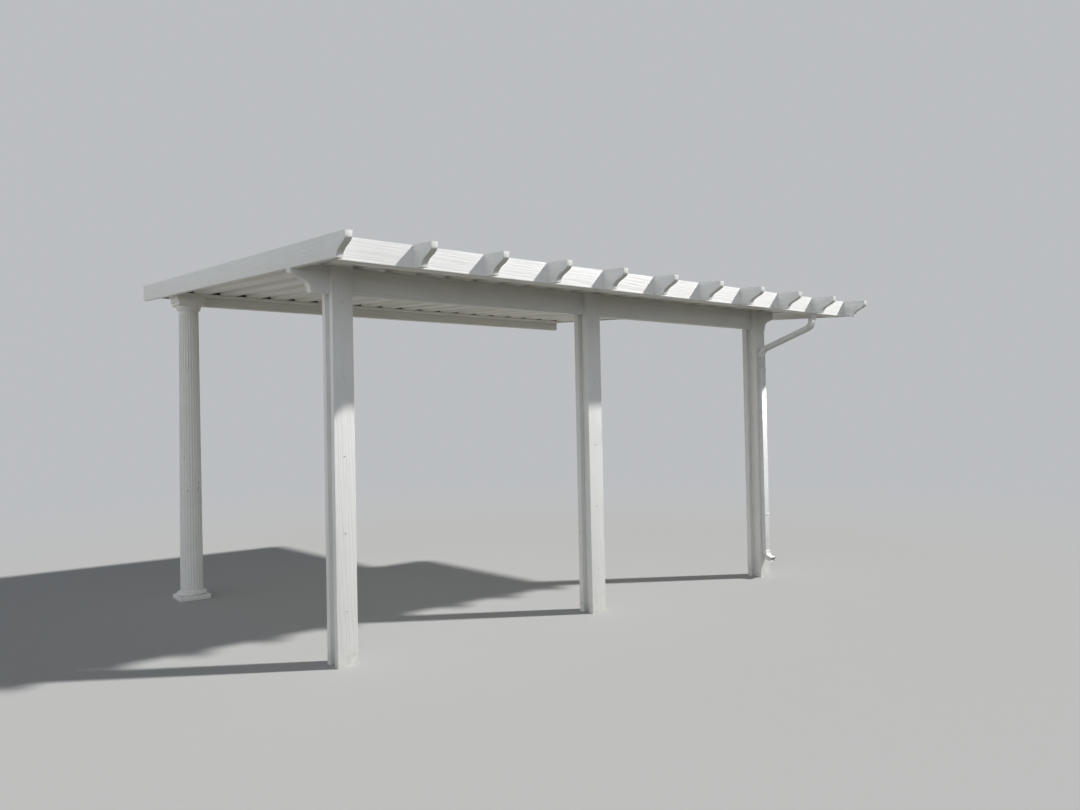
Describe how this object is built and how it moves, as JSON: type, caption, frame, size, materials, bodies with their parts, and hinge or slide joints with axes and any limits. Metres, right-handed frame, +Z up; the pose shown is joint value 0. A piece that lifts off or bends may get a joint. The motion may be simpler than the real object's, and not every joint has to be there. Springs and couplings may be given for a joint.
{
  "type": "patio pergola with ribbed metal roof",
  "caption": "Open-frame patio pergola with upright posts, scroll-cut beam and rafter tails, gutter, downspout, ribbed roof pans and a fluted rear column",
  "frame": {"origin": "on the ground, under the middle of the outline", "axes": "+X along the front beam, +Y from the gutter to the high rear edge, +Z up"},
  "size_m": [6.1718, 5.1268, 3.3784],
  "materials": {
    "white_frame": "satin",
    "white_pans": "satin",
    "white_column": "satin",
    "white_downspout": "gloss"
  },
  "bodies": {
    "root": {"column_base": "white_column", "column_cap_block": "white_column", "column_capital": "white_column", "column_shaft": "white_column", "downspout_offset": "white_downspout", "downspout_pipe": "white_downspout", "downspout_shoe": "white_downspout", "downspout_straps": "white_downspout", "end_tail_left": "white_frame", "end_tail_right": "white_frame", "front_beam_left": "white_frame", "front_beam_right": "white_frame", "gutter": "white_frame", "gutter_outlet": "white_downspout", "header_lip": "white_frame", "notch_side_trim": "white_frame", "post_1_core": "white_frame", "post_1_front_plate": "white_frame", "post_1_rear_plate": "white_frame", "post_2_core": "white_frame", "post_2_front_plate": "white_frame", "post_2_rear_plate": "white_frame", "post_3_core": "white_frame", "post_3_front_plate": "white_frame", "post_3_rear_plate": "white_frame", "rafter_tail_1": "white_frame", "rafter_tail_2": "white_frame", "rafter_tail_3": "white_frame", "rafter_tail_4": "white_frame", "rafter_tail_5": "white_frame", "rafter_tail_6": "white_frame", "rafter_tail_7": "white_frame", "rafter_tail_8": "white_frame", "rafter_tail_9": "white_frame", "rear_hanger": "white_frame", "rear_header": "white_frame", "roof_pans_1": "white_pans", "roof_pans_2": "white_pans", "roof_pans_3": "white_pans", "roof_pans_4": "white_pans", "roof_pans_5": "white_pans", "roof_pans_short": "white_pans", "short_roof_closure": "white_frame", "side_fascia_left": "white_frame", "side_fascia_right": "white_frame"}
  },
  "joints": []
}
